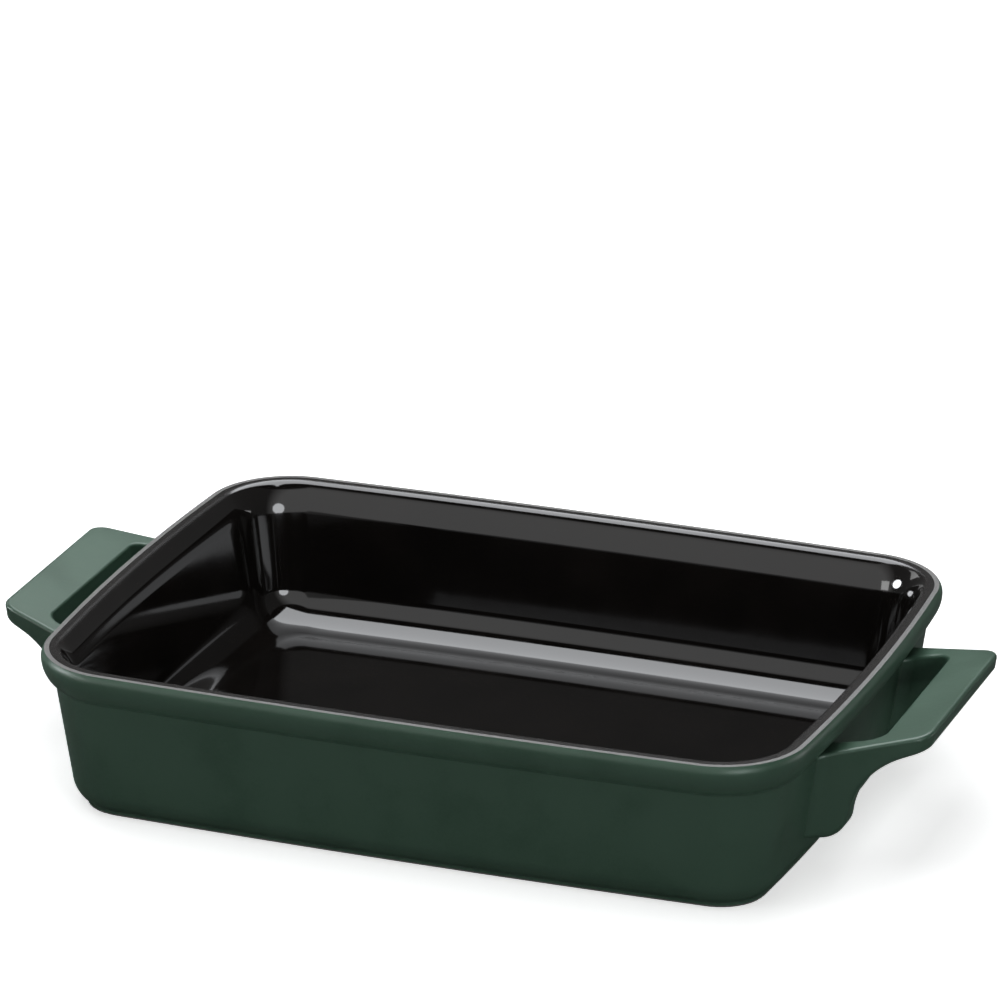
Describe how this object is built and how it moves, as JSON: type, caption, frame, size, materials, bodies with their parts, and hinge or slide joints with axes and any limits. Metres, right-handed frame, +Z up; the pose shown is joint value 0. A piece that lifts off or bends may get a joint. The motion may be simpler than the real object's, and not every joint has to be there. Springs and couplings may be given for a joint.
{
  "type": "lasagna dish",
  "caption": "Open rectangular ceramic baking dish with a collared rim, a black glazed cavity, a low foot ring and a slotted handle on each end.",
  "frame": {"origin": "middle of the foot ring's resting plane", "axes": "+X along the dish from handle to handle, +Y across it, +Z up"},
  "size_m": [0.4142, 0.254, 0.0695],
  "materials": {
    "bare_clay": "bare fired clay, matt grey, seen on the rim band and under the foot",
    "black_glaze": "gloss black glaze",
    "green_glaze": "satin dark green glaze",
    "green_handle": "satin dark green glaze on fired clay"
  },
  "bodies": {
    "root": {"dish_body": "bare_clay", "lining_glaze": "black_glaze", "wall_glaze": "green_glaze", "base_glaze": "green_glaze", "left_handle": "green_handle", "right_handle": "green_handle"}
  },
  "joints": []
}
